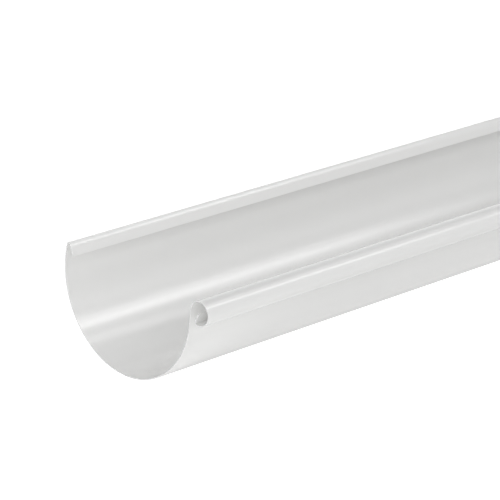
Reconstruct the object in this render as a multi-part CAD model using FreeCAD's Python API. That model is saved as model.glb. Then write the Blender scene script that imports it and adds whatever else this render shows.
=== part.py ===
import FreeCAD, Part
import math
import os

# Half-round eaves gutter section, size 125, roll formed from one strip of
# coated steel.  Units are millimetres.  X runs along the gutter, the front bead
# faces -Y, the back edge faces +Y and Z is up.  The gutter lies the way it comes
# to rest on a level floor: rolled a little towards its bead, the heavier side.
# The origin is at mid length, on the outside of the line that it rests on.

# --- Driving dimensions -------------------------------------------------------
LENGTH = 3000.0  # a stock length of steel half-round gutter
SHEET = 0.6  # thickness of the coated steel strip

TROUGH_RADIUS = 62.5  # outside of the half round: size 125 is its outside width
BACK_RISE_DEG = 17.2  # how far the back wall carries on above the half round
FRONT_RISE = 0.6  # short straight from the half round up to the bead

HEM_RADIUS = 0.8  # centreline of the tight fold along the back edge
HEM_TURN_DEG = 114.0
FLAP_CURL_RADIUS = 9.8  # the flap carries on round in an easy curve
FLAP_CURL_DEG = 29.5  # and ends up 19 degrees from the vertical
FLAP_LENGTH = 4.8  # then straight, down inside the back edge

BEAD_RADIUS = 8.45  # centreline of the rolled bead along the front edge
BEAD_TURN_DEG = 288.5  # over the top, round the front and back under the bead
LIP_BEND_RADIUS = 1.2  # centreline of the bend that turns the strip's edge in
LIP_BEND_TURN_DEG = 90.0
LIP_RADIUS = 25.8  # the turned-in edge is slightly curved
LIP_TURN_DEG = 18.0


class StripRun:
    """A run of straights and bends along the strip, each one tangent to the last.

    The run is walked along the strip's centreline in the YZ plane, and leaves
    behind the two edges of the strip, half a sheet to each side.
    """

    def __init__(self, y, z, heading_deg):
        self.y = y
        self.z = z
        self.heading = math.radians(heading_deg)
        self.edges = []

    def sides(self):
        """Both faces of the sheet where the walk stands: left, then right."""
        half = SHEET / 2.0
        across_y, across_z = -math.sin(self.heading), math.cos(self.heading)
        return (
            FreeCAD.Vector(0.0, self.y + half * across_y, self.z + half * across_z),
            FreeCAD.Vector(0.0, self.y - half * across_y, self.z - half * across_z),
        )

    def straight(self, length):
        """Carry straight on."""
        start = self.sides()
        self.y += length * math.cos(self.heading)
        self.z += length * math.sin(self.heading)
        for a, b in zip(start, self.sides()):
            self.edges.append(Part.makeLine(a, b))

    def bend(self, radius, turn_deg):
        """Bend to the left for a positive turn, to the right for a negative one."""
        hand = math.copysign(1.0, turn_deg)
        start = self.sides()
        self._turn(radius, hand, turn_deg / 2.0)
        middle = self.sides()
        self._turn(radius, hand, turn_deg / 2.0)
        for a, m, b in zip(start, middle, self.sides()):
            self.edges.append(Part.Arc(a, m, b).toShape())

    def _turn(self, radius, hand, turn_deg):
        centre_y = self.y - hand * radius * math.sin(self.heading)
        centre_z = self.z + hand * radius * math.cos(self.heading)
        self.heading += math.radians(turn_deg)
        self.y = centre_y + hand * radius * math.sin(self.heading)
        self.z = centre_z - hand * radius * math.cos(self.heading)

    def cut_end(self):
        """Square off the strip where the walk stands."""
        self.edges.append(Part.makeLine(*self.sides()))


def hung_section():
    """The rolled strip's section as it hangs at the eaves, lowest line on the origin."""
    middle = TROUGH_RADIUS - SHEET / 2.0
    rise = math.radians(BACK_RISE_DEG)
    y_top = middle * math.cos(rise)
    z_top = TROUGH_RADIUS + middle * math.sin(rise)

    # From the top of the back wall: down, round under and up into the bead.  The
    # half round is two arcs, which meet well away from the line it rests on.
    front = StripRun(y_top, z_top, BACK_RISE_DEG - 90.0)
    front.bend(middle, -BACK_RISE_DEG)
    front.bend(middle, -75.0)
    front.bend(middle, -105.0)
    front.straight(FRONT_RISE)
    front.bend(BEAD_RADIUS, BEAD_TURN_DEG)
    front.bend(LIP_BEND_RADIUS, LIP_BEND_TURN_DEG)
    front.bend(LIP_RADIUS, LIP_TURN_DEG)
    front.cut_end()

    # And from the same place the other way: over the hem and down the flap.
    back = StripRun(y_top, z_top, BACK_RISE_DEG + 90.0)
    back.bend(HEM_RADIUS, HEM_TURN_DEG)
    back.bend(FLAP_CURL_RADIUS, FLAP_CURL_DEG)
    back.straight(FLAP_LENGTH)
    back.cut_end()

    edges = Part.__sortEdges__(front.edges + back.edges)
    return Part.Face(Part.Wire(edges))


def rest_roll_deg(section):
    """How far the hung gutter rolls towards its bead when it is laid on a floor.

    A round trough rolls until its centre of mass is under its own centre.
    """
    mass_centre = section.CenterOfMass
    return math.degrees(math.atan2(-mass_centre.y, TROUGH_RADIUS - mass_centre.z))


section = hung_section()
rest_roll = rest_roll_deg(section)
trough_axis = FreeCAD.Vector(0.0, 0.0, TROUGH_RADIUS)
section.rotate(trough_axis, FreeCAD.Vector(1.0, 0.0, 0.0), rest_roll)
section.translate(FreeCAD.Vector(-LENGTH / 2.0, 0.0, 0.0))
gutter = section.extrude(FreeCAD.Vector(LENGTH, 0.0, 0.0))
if gutter.Volume < 0:
    gutter.reverse()

os.makedirs("parts", exist_ok=True)
gutter.exportStep("parts/gutter.step")

box = gutter.BoundBox
print("solids", len(gutter.Solids), "valid", gutter.isValid(), "faces", len(gutter.Faces))
print("volume mm3 %.1f" % gutter.Volume, "mass at 7850 kg/m3 %.3f kg" % (gutter.Volume * 7.85e-6))
print(
    "X %.2f..%.2f Y %.2f..%.2f Z %.2f..%.2f"
    % (box.XMin, box.XMax, box.YMin, box.YMax, box.ZMin, box.ZMax)
)
print("strip width mm %.1f" % (section.Area / SHEET))
print("rolls %.2f deg to rest" % rest_roll)
print("centre of mass Y %.2f Z %.2f" % (gutter.CenterOfMass.y, gutter.CenterOfMass.z))
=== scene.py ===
"""Dresses a half-round eaves gutter of white coated steel, lying on a pale floor.

The gutter is one strip of sheet.  It is modelled the way a roll former makes it:
a flat flap is drawn at the back edge, and every bend after it is spun or drawn out
of the strip's last edge, round to the rolled bead at the front.
"""

import logging
import math
from dataclasses import dataclass, field
from enum import Enum

import bpy
from mathutils import Matrix, Vector

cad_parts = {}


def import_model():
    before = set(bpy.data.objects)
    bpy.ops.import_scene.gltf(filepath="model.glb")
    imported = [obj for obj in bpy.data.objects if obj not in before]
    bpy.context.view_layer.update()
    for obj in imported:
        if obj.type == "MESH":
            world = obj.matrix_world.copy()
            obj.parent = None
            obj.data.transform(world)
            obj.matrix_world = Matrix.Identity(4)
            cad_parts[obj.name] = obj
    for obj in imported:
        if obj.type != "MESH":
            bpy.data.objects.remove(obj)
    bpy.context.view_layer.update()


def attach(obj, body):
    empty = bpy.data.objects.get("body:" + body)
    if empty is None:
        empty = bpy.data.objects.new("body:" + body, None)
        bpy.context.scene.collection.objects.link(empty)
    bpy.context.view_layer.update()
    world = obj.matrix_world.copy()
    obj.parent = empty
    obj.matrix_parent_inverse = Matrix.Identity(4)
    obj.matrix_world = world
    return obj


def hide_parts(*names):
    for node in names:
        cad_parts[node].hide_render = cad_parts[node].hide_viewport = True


MM = 0.001
GUTTER_NODE = "gutter"
GUTTER_BODY = "root"
X_AXIS = Vector((1.0, 0.0, 0.0))

SAME_PLACE = 1e-5  # metres, closer than any two edges of the strip
MERGE_DISTANCE = 1e-6  # metres
MIX_FIRST, MIX_SECOND, MIXED = 6, 7, 2  # where the Mix node takes and gives a colour
NOISE_LOW, NOISE_HIGH = 0.3, 0.7  # nearly all of a noise lies between these

log = logging.getLogger("gutter")


def linear(hex_colour: str) -> tuple[float, float, float, float]:
    """Turn an sRGB hex colour into linear RGBA.

    Args:
        hex_colour: six hex digits, such as "f2f1ee".

    Returns:
        The same colour as Blender's sockets take it.
    """
    channels = []
    for start in (0, 2, 4):
        value = int(hex_colour[start:start + 2], 16) / 255.0
        channels.append(value / 12.92 if value <= 0.04045 else ((value + 0.055) / 1.055) ** 2.4)
    return (channels[0], channels[1], channels[2], 1.0)


def add_node(tree: bpy.types.NodeTree, kind: str, settings: dict | None = None,
             links: dict | None = None) -> bpy.types.Node:
    """Add one node to a material or world.

    Args:
        tree: the node tree that gets the node.
        kind: the node's type, such as "ShaderNodeTexNoise".
        settings: values by property name or by input name or number.
        links: output sockets by the name or number of the input that they feed.

    Returns:
        The new node.
    """
    node = tree.nodes.new(kind)
    for name, value in (settings or {}).items():
        if isinstance(name, str) and hasattr(node, name):
            setattr(node, name, value)
        else:
            node.inputs[name].default_value = value
    for name, socket in (links or {}).items():
        tree.links.new(socket, node.inputs[name])
    return node


def shown_rays(tree: bpy.types.NodeTree, mirrored: float = 1.0) -> bpy.types.NodeSocket:
    """Tell rays that show the surround, seen, mirrored or through glass, from those that light.

    Args:
        tree: the node tree that gets the nodes.
        mirrored: how much of the surround's white the mirrored rays get.

    Returns:
        A factor that is 1 for seen rays, mirrored for mirrored ones and 0 for those that light.
    """
    rays = add_node(tree, "ShaderNodeLightPath")
    gloss = add_node(tree, "ShaderNodeMath", {"operation": "MULTIPLY", 1: mirrored},
                     {0: rays.outputs["Is Glossy Ray"]})
    seen = add_node(tree, "ShaderNodeMath", {"operation": "MAXIMUM"},
                    {0: rays.outputs["Is Camera Ray"], 1: gloss.outputs[0]})
    through = add_node(tree, "ShaderNodeMath", {"operation": "MAXIMUM"},
                       {0: seen.outputs[0], 1: rays.outputs["Is Transmission Ray"]})
    return through.outputs[0]


class Turn(Enum):
    """Which way the strip is bent, seen along +X."""

    LEFT = 1.0
    RIGHT = -1.0


class Finish(Enum):
    """The place of each finish in the piece's list of materials."""

    COATING = 0
    CUT_EDGE = 1


@dataclass(frozen=True)
class Bend:
    """One bend of the strip, in millimetres and degrees, measured on its centreline."""

    radius: float
    turn_deg: float
    turn: Turn
    facets: int

    @property
    def reach(self) -> float:
        """The radius in metres, below zero for a bend to the right."""
        return self.turn.value * self.radius * MM

    @property
    def swing(self) -> float:
        """The angle in radians, below zero for a bend to the right."""
        return self.turn.value * math.radians(self.turn_deg)

    def walked_back(self) -> "Bend":
        """Return the same bend as it is met from its other end."""
        other = Turn.LEFT if self.turn is Turn.RIGHT else Turn.RIGHT
        return Bend(self.radius, self.turn_deg, other, self.facets)


@dataclass(frozen=True)
class StripEdge:
    """Where the strip's last edge stands and which way it is heading, in the YZ plane."""

    y: float
    z: float
    heading: float

    def turned_back(self) -> "StripEdge":
        """Return the same edge heading the other way."""
        return StripEdge(self.y, self.z, self.heading + math.pi)

    def ahead(self, length: float) -> "StripEdge":
        """Return the edge after a straight of this length."""
        return StripEdge(self.y + length * math.cos(self.heading),
                         self.z + length * math.sin(self.heading), self.heading)

    def centre(self, bend: Bend) -> Vector:
        """Return the centre of a bend that starts here."""
        return Vector((0.0, self.y - bend.reach * math.sin(self.heading),
                       self.z + bend.reach * math.cos(self.heading)))

    def after(self, bend: Bend) -> "StripEdge":
        """Find the edge's new place.

        Args:
            bend: a bend that starts here.

        Returns:
            The edge at the end of the bend.
        """
        middle = self.centre(bend)
        heading = self.heading + bend.swing
        return StripEdge(middle.y + bend.reach * math.sin(heading),
                         middle.z - bend.reach * math.cos(heading), heading)


@dataclass
class GutterLength:
    """One stock length of half-round gutter: the whole of the object.

    Sizes are in millimetres.  The trough's radius is its outside, as the trade
    measures it.  The section's sizes stand in the strip's order, from its back edge.
    """

    name: str = "gutter_length"
    length: float = 3000.0
    sheet: float = 0.6
    flap_flat: float = 4.8
    flap_curl: Bend = Bend(radius=9.8, turn_deg=29.5, turn=Turn.RIGHT, facets=8)
    hem: Bend = Bend(radius=0.8, turn_deg=114.0, turn=Turn.RIGHT, facets=26)
    back_rise_deg: float = 17.2
    trough_radius: float = 62.5
    front_rise: float = 0.6
    bead: Bend = Bend(radius=8.45, turn_deg=288.5, turn=Turn.LEFT, facets=96)
    lip_bend: Bend = Bend(radius=1.2, turn_deg=90.0, turn=Turn.LEFT, facets=18)
    lip: Bend = Bend(radius=25.8, turn_deg=18.0, turn=Turn.LEFT, facets=8)
    smooth_angle_deg: float = 30.0
    rest_roll: float = field(init=False, default=0.0)

    def build(self, coating: bpy.types.Material, cut_edge: bpy.types.Material) -> bpy.types.Object:
        """Form the strip, give it its thickness and dress it.

        Args:
            coating: the finish on both faces of the strip and wrapped round its two edges.
            cut_edge: the finish of the sawn ends.

        Returns:
            The finished piece, at the origin, lying as it rests on a floor.
        """
        flat_end = self._end_of_flap()
        piece = self._flap(flat_end)
        self._form(piece, flat_end.turned_back())
        self._lay_down(piece)
        # Solidify gives the rim its own material only if the piece already has both.
        piece.data.materials.append(coating)
        piece.data.materials.append(cut_edge)
        self._thicken(piece)
        return piece

    def _round_trough(self, turn_deg: float) -> Bend:
        """Return a stretch of the trough's round, with a facet to each degree."""
        return Bend(self.trough_radius - self.sheet / 2.0, turn_deg, Turn.RIGHT, round(turn_deg))

    def _end_of_flap(self) -> StripEdge:
        """Walk back over the fold from the top of the back wall.

        Returns:
            The edge where the flap's flat starts, heading for its free edge.
        """
        middle = (self.trough_radius - self.sheet / 2.0) * MM
        rise = math.radians(self.back_rise_deg)
        top = StripEdge(middle * math.cos(rise), self.trough_radius * MM + middle * math.sin(rise),
                        rise - math.pi / 2.0)
        return top.turned_back().after(self.hem.walked_back()).after(self.flap_curl.walked_back())

    def _flap(self, flat: StripEdge) -> bpy.types.Object:
        """Draw the flap's flat from a plane.

        Args:
            flat: the edge where the flat starts, heading for its free edge.

        Returns:
            The flat, in edit mode.
        """
        end = flat.ahead(self.flap_flat * MM)
        middle = Vector((0.0, (flat.y + end.y) / 2.0, (flat.z + end.z) / 2.0))
        bpy.ops.mesh.primitive_plane_add(size=1.0)
        piece = bpy.context.object
        piece.name = self.name
        piece.data.name = self.name
        bpy.ops.object.mode_set(mode="EDIT")
        bpy.ops.transform.resize(value=(self.length * MM, self.flap_flat * MM, 1.0))
        # With no window this operator turns the other way, so the angle is negative.
        bpy.ops.transform.rotate(value=-flat.heading, orient_axis="X", center_override=(0, 0, 0))
        bpy.ops.transform.translate(value=middle)
        return piece

    def _form(self, piece: bpy.types.Object, start: StripEdge) -> None:
        """Draw every bend and straight after the flap out of the strip's last edge.

        Args:
            piece: the flap, in edit mode.
            start: the edge that the first bend is drawn from.
        """
        self._select_edge_at(piece, start)
        here = self._bend(start, self.flap_curl)
        here = self._bend(here, self.hem)
        here = self._bend(here, self._round_trough(self.back_rise_deg))
        here = self._bend(here, self._round_trough(180.0))
        here = self._straight(here, self.front_rise * MM)
        here = self._bend(here, self.bead)
        here = self._bend(here, self.lip_bend)
        self._bend(here, self.lip)
        bpy.ops.mesh.select_all(action="SELECT")
        bpy.ops.mesh.remove_doubles(threshold=MERGE_DISTANCE)
        bpy.ops.mesh.normals_make_consistent(inside=False)
        bpy.ops.object.mode_set(mode="OBJECT")

    def _select_edge_at(self, piece: bpy.types.Object, edge: StripEdge) -> None:
        """Select only the lengthwise edge that stands at this place in the section.

        Args:
            piece: the strip so far, in edit mode.
            edge: the place.
        """
        bpy.ops.object.mode_set(mode="OBJECT")
        for part in (*piece.data.polygons, *piece.data.edges, *piece.data.vertices):
            part.select = False
        for vertex in piece.data.vertices:
            off = math.hypot(vertex.co.y - edge.y, vertex.co.z - edge.z)
            vertex.select = off < SAME_PLACE
        for side in piece.data.edges:
            side.select = all(piece.data.vertices[i].select for i in side.vertices)
        bpy.ops.object.mode_set(mode="EDIT")
        bpy.ops.mesh.select_mode(type="EDGE")

    def _bend(self, here: StripEdge, bend: Bend) -> StripEdge:
        """Spin the selected edge round a bend and return where it then stands."""
        bpy.ops.mesh.spin(steps=bend.facets, angle=-bend.swing, use_auto_merge=False,
                          center=here.centre(bend), axis=X_AXIS)
        return here.after(bend)

    def _straight(self, here: StripEdge, length: float) -> StripEdge:
        """Draw the selected edge straight on.

        Args:
            here: where the edge stands.
            length: how far to draw it, in metres.

        Returns:
            Where it then stands.
        """
        ahead = here.ahead(length)
        move = (0.0, ahead.y - here.y, ahead.z - here.z)
        bpy.ops.mesh.extrude_edges_move(TRANSFORM_OT_translate={"value": move})
        return ahead

    def _lay_down(self, piece: bpy.types.Object) -> None:
        """Roll the piece about the trough's axis until its centre of mass is lowest.

        Args:
            piece: the formed strip, as it hangs, with no thickness yet.
        """
        faces = piece.data.polygons
        area = sum(face.area for face in faces)
        mass_y = sum(face.area * face.center.y for face in faces) / area
        mass_z = sum(face.area * face.center.z for face in faces) / area
        axis = Vector((0.0, 0.0, self.trough_radius * MM))
        self.rest_roll = math.atan2(-mass_y, axis.z - mass_z)
        roll = Matrix.Rotation(self.rest_roll, 4, "X")
        piece.data.transform(Matrix.Translation(axis) @ roll @ Matrix.Translation(-axis))
        log.info("rolls %.3f degrees to rest", math.degrees(self.rest_roll))

    def _thicken(self, piece: bpy.types.Object) -> None:
        """Give the strip its sheet thickness, half to each side, and dress its rim.

        The coating wraps the strip's two long edges, so only the faces that look
        along X, at the sawn ends, keep the cut edge's finish.

        Args:
            piece: the formed strip, with both finishes in its list.
        """
        sheet = piece.modifiers.new("sheet", "SOLIDIFY")
        sheet.thickness = self.sheet * MM
        sheet.offset = 0.0
        sheet.use_even_offset = True
        sheet.material_offset_rim = Finish.CUT_EDGE.value
        bpy.ops.object.modifier_apply(modifier=sheet.name)
        for face in piece.data.polygons:
            at_sawn_end = abs(face.normal.x) > 0.5
            if not at_sawn_end:
                face.material_index = Finish.COATING.value
        bpy.ops.object.shade_smooth_by_angle(angle=math.radians(self.smooth_angle_deg))


@dataclass(frozen=True)
class PolyesterCoating:
    """White polyester on galvanised steel, put on by rollers as the coil runs, and stoved.

    It gives a satin skin with a fine leather-like grain, a shallow orange peel, and
    faint streaks along the strip where the rollers laid it a little thinner.
    """

    name: str = "polyester_coated_steel"
    thick_colour: str = "f4f4f3"
    thin_colour: str = "f2f2f1"
    smooth: float = 0.2
    rough: float = 0.24
    grain_mm: float = 1.1  # really about half of this, drawn coarser so that it shows
    grain_depth_mm: float = 0.006
    peel_mm: float = 7.0
    peel_depth_mm: float = 0.005
    streak_mm: float = 9.0
    streak_stretch: float = 45.0

    def build(self) -> bpy.types.Material:
        """Make the coating's material.

        Returns:
            The material, which reads object coordinates.
        """
        material = bpy.data.materials.new(self.name)
        material.use_nodes = True
        tree = material.node_tree
        shader = tree.nodes["Principled BSDF"]
        place = add_node(tree, "ShaderNodeTexCoord").outputs["Object"]
        drawn = add_node(tree, "ShaderNodeMapping",
                         {"Scale": (1.0 / self.streak_stretch, 1.0, 1.0)}, {"Vector": place})
        streak = add_node(tree, "ShaderNodeTexNoise",
                          {"Scale": 1.0 / (self.streak_mm * MM), "Detail": 3.0},
                          {"Vector": drawn.outputs[0]})
        grain = add_node(tree, "ShaderNodeTexNoise",
                         {"Scale": 1.0 / (self.grain_mm * MM), "Detail": 2.0}, {"Vector": place})
        peel = add_node(tree, "ShaderNodeTexNoise",
                        {"Scale": 1.0 / (self.peel_mm * MM), "Detail": 1.0}, {"Vector": place})

        colour = add_node(tree, "ShaderNodeMix", {
            "data_type": "RGBA", MIX_FIRST: linear(self.thin_colour),
            MIX_SECOND: linear(self.thick_colour)}, {0: streak.outputs[0]})
        tree.links.new(colour.outputs[MIXED], shader.inputs["Base Color"])
        gloss = add_node(tree, "ShaderNodeMapRange", {
            "From Min": NOISE_LOW, "From Max": NOISE_HIGH,
            "To Min": self.smooth, "To Max": self.rough}, {"Value": grain.outputs[0]})
        tree.links.new(gloss.outputs[0], shader.inputs["Roughness"])
        waves = add_node(tree, "ShaderNodeBump",
                         {"Strength": 1.0, "Distance": self.peel_depth_mm * MM},
                         {"Height": peel.outputs[0]})
        skin = add_node(tree, "ShaderNodeBump",
                        {"Strength": 1.0, "Distance": self.grain_depth_mm * MM},
                        {"Height": grain.outputs[0], "Normal": waves.outputs[0]})
        tree.links.new(skin.outputs[0], shader.inputs["Normal"])
        return material


@dataclass(frozen=True)
class SawnSteelEdge:
    """The sheet's sawn ends: steel between two films of zinc, smeared and scored by the saw.

    An end is as thin as the sheet and its zinc is dull, so it shows as a matt, even,
    pale grey line without mirrored lamps, and it isn't drawn as bare metal.
    """

    name: str = "sawn_steel_edge"
    bright: str = "c4c4c4"
    dull: str = "b6b7b8"
    roughness: float = 0.42
    score_mm: float = 0.5
    score_stretch: float = 12.5
    score_depth_mm: float = 0.02

    def build(self) -> bpy.types.Material:
        """Make the sawn edge's material.

        Returns:
            The material, which reads object coordinates.
        """
        material = bpy.data.materials.new(self.name)
        material.use_nodes = True
        tree = material.node_tree
        shader = tree.nodes["Principled BSDF"]
        place = add_node(tree, "ShaderNodeTexCoord").outputs["Object"]
        drawn = add_node(tree, "ShaderNodeMapping",
                         {"Scale": (1.0, 1.0 / self.score_stretch, 1.0)}, {"Vector": place})
        score = add_node(tree, "ShaderNodeTexNoise",
                         {"Scale": 1.0 / (self.score_mm * MM), "Detail": 2.0},
                         {"Vector": drawn.outputs[0]})
        colour = add_node(tree, "ShaderNodeMix", {
            "data_type": "RGBA", MIX_FIRST: linear(self.dull),
            MIX_SECOND: linear(self.bright)}, {0: score.outputs[0]})
        tree.links.new(colour.outputs[MIXED], shader.inputs["Base Color"])
        shader.inputs["Roughness"].default_value = self.roughness
        scored = add_node(tree, "ShaderNodeBump",
                          {"Strength": 1.0, "Distance": self.score_depth_mm * MM},
                          {"Height": score.outputs[0]})
        tree.links.new(scored.outputs[0], shader.inputs["Normal"])
        return material


@dataclass(frozen=True)
class Softbox:
    """A rectangular softbox, aimed at the stretch of gutter by its left end.

    Its place is given round the gutter's line, from 0 level on the bead's side to
    180 level on the back edge's side, and along it, from 0 square to the gutter to
    90 in line with its right end.  A radiance of 1 is as bright as white paper, and
    the distance is in metres.  One that isn't mirrored lights the gutter but leaves
    no highlight on it.
    """

    name: str
    round_deg: float
    along_deg: float
    width_deg: float
    height_deg: float
    radiance: float
    distance: float = 5.0
    mirrored: bool = True

    def build(self, aim: Vector) -> None:
        """Hang the softbox and turn it towards the place it is aimed at.

        Args:
            aim: the place.
        """
        along = math.radians(self.along_deg)
        around = math.radians(self.round_deg)
        away = Vector((math.sin(along), -math.cos(along) * math.cos(around),
                       math.cos(along) * math.sin(around)))
        across = (X_AXIS - away * away.x).normalized()
        half_width = math.radians(self.width_deg) / 2.0
        half_height = math.radians(self.height_deg) / 2.0
        data = bpy.data.lights.new(self.name, "AREA")
        data.shape = "RECTANGLE"
        data.size = 2.0 * self.distance * math.tan(half_width)
        data.size_y = 2.0 * self.distance * math.cos(along) * math.tan(half_height)
        data.energy = self.radiance * math.pi * data.size * data.size_y
        lamp = bpy.data.objects.new(self.name, data)
        bpy.context.scene.collection.objects.link(lamp)
        turn = Matrix((across, away.cross(across), away)).transposed().to_4x4()
        lamp.matrix_world = Matrix.Translation(aim + away * self.distance) @ turn
        lamp.visible_camera = False
        lamp.visible_glossy = self.mirrored


SOFTBOXES = (
    # The key gives the bright line along the inner wall, the bead and the hem, and its
    # skirt and top soften the line's edges.
    Softbox("key", round_deg=36.9, along_deg=36.4, width_deg=19.3, height_deg=4.2, radiance=15.2),
    Softbox("key_skirt", round_deg=28.9, along_deg=36.4, width_deg=19.3, height_deg=4.2,
            radiance=6.6),
    Softbox("key_top", round_deg=45.9, along_deg=42.9, width_deg=6.3, height_deg=6.2,
            radiance=4.9),
    # The second gives the weaker line beside that one.
    Softbox("second", round_deg=58.0, along_deg=34.0, width_deg=14.6, height_deg=10.0,
            radiance=3.5),
    Softbox("second_wing", round_deg=66.0, along_deg=43.8, width_deg=7.9, height_deg=6.0,
            radiance=3.1),
    # The end fills light the trough, the bead's hollow and the cut edge from the left.
    # Seen from the right end, the trough would mirror them so strongly that it went white.
    Softbox("end_fill", round_deg=15.0, along_deg=-70.0, width_deg=23.7, height_deg=30.0,
            radiance=8.2, mirrored=False),
    Softbox("end_fill_back", round_deg=125.0, along_deg=-70.0, width_deg=23.7, height_deg=50.0,
            radiance=14.5, mirrored=False),
    # The low fills light the outer wall on the bead's side, and the gutter's back.
    Softbox("front_fill", round_deg=8.5, along_deg=-29.4, width_deg=47.4, height_deg=15.0,
            radiance=2.0),
    Softbox("front_fill_right", round_deg=8.5, along_deg=29.4, width_deg=47.4, height_deg=15.0,
            radiance=0.6),
    Softbox("back_fill", round_deg=170.5, along_deg=0.0, width_deg=106.0, height_deg=11.0,
            radiance=3.3, distance=12.0),
    Softbox("back_fill_right", round_deg=136.0, along_deg=29.4, width_deg=47.4, height_deg=30.0,
            radiance=0.55),
)


@dataclass
class Studio:
    """A pale floor, a white surround, softboxes and the camera.

    The camera's place is given round the gutter as it hangs: it looks past the left
    end at a point by the trough's axis, from outside that end on the bead's side.
    Then it rolls with the gutter.
    """

    rest_roll: float
    left_end: Vector = field(default_factory=lambda: Vector((-1500.0, 0.0, 62.5)) * MM)
    look_at: Vector = field(default_factory=lambda: Vector((115.81, 0.0, 0.65)) * MM)
    camera_distance: float = 1900.07 * MM
    azimuth_deg: float = 44.484
    elevation_deg: float = 18.461
    lens: float = 196.64
    sensor_width: float = 36.0
    sees_as_far_as: float = 50.0
    lamp_aim: Vector = field(default_factory=lambda: Vector((-1300.0, 0.0, 60.0)) * MM)
    dome: float = 0.26
    floor_size: float = 60.0
    floor_colour: str = "e7e7e7"
    floor_glow: float = 0.25
    floor_white: float = 1.3
    floor_white_share: float = 0.6  # the rest of what shows is the lit floor, with its shadow
    floor_mirrored: float = 0.25  # more would wash out the underside of a satin coating

    def build(self) -> None:
        """Set the stage, hang the softboxes and point the camera."""
        self._camera()
        self._floor()
        self._world()
        for softbox in SOFTBOXES:
            softbox.build(self.lamp_aim)

    def _camera(self) -> None:
        """Place the camera, which looks down at the left end from the bead's side."""
        azimuth = math.radians(self.azimuth_deg)
        elevation = math.radians(self.elevation_deg)
        roll = Matrix.Rotation(self.rest_roll, 3, "X")
        away = roll @ Vector((-math.sin(azimuth) * math.cos(elevation),
                              -math.cos(azimuth) * math.cos(elevation), math.sin(elevation)))
        right = roll @ Vector((math.cos(azimuth), -math.sin(azimuth), 0.0))
        place = self.left_end + roll @ self.look_at + away * self.camera_distance
        data = bpy.data.cameras.new("camera")
        data.lens = self.lens
        data.sensor_width = self.sensor_width
        data.clip_end = self.sees_as_far_as
        camera = bpy.data.objects.new("camera", data)
        bpy.context.scene.collection.objects.link(camera)
        turn = Matrix((right, away.cross(right), away)).transposed().to_4x4()
        camera.matrix_world = Matrix.Translation(place) @ turn
        bpy.context.scene.camera = camera

    def _floor(self) -> None:
        """Lay a pale floor that glows a little, and shows white with a faint shadow."""
        bpy.ops.mesh.primitive_plane_add(size=self.floor_size)
        floor = bpy.context.object
        floor.name = "floor"
        material = bpy.data.materials.new("pale_floor")
        material.use_nodes = True
        tree = material.node_tree
        tree.nodes.clear()
        paint = add_node(tree, "ShaderNodeBsdfDiffuse", {"Color": linear(self.floor_colour)})
        glow = add_node(tree, "ShaderNodeEmission", {"Strength": self.floor_glow})
        lit = add_node(tree, "ShaderNodeAddShader", links={0: paint.outputs[0], 1: glow.outputs[0]})
        white = add_node(tree, "ShaderNodeEmission", {"Strength": self.floor_white})
        seen = add_node(tree, "ShaderNodeMixShader", {0: self.floor_white_share},
                        {1: lit.outputs[0], 2: white.outputs[0]})
        shown = add_node(tree, "ShaderNodeMixShader", links={
            0: shown_rays(tree, self.floor_mirrored), 1: lit.outputs[0], 2: seen.outputs[0]})
        add_node(tree, "ShaderNodeOutputMaterial", links={"Surface": shown.outputs[0]})
        floor.data.materials.append(material)

    def _world(self) -> None:
        """Surround the object with a dim dome, which shows and reflects as white."""
        world = bpy.data.worlds.new("studio")
        bpy.context.scene.world = world
        world.use_nodes = True
        tree = world.node_tree
        tree.nodes.clear()
        dome = add_node(tree, "ShaderNodeBackground",
                        {"Color": linear("ffffff"), "Strength": self.dome})
        white = add_node(tree, "ShaderNodeBackground",
                         {"Color": linear("ffffff"), "Strength": 1.0})
        shown = add_node(tree, "ShaderNodeMixShader", links={
            0: shown_rays(tree), 1: dome.outputs[0], 2: white.outputs[0]})
        add_node(tree, "ShaderNodeOutputWorld", links={"Surface": shown.outputs[0]})


def main() -> None:
    """Load the frame, build the gutter and set the stage."""
    logging.basicConfig(level=logging.INFO, format="%(name)s: %(message)s")
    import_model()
    bpy.ops.object.select_all(action="DESELECT")
    bpy.context.scene.view_settings.view_transform = "Standard"

    length = GutterLength()
    gutter = length.build(PolyesterCoating().build(), SawnSteelEdge().build())
    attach(gutter, GUTTER_BODY)
    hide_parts(GUTTER_NODE)
    log.info("%s: %d faces", gutter.name, len(gutter.data.polygons))

    Studio(rest_roll=length.rest_roll).build()
    log.info("studio set")


if __name__ == "__main__":
    main()
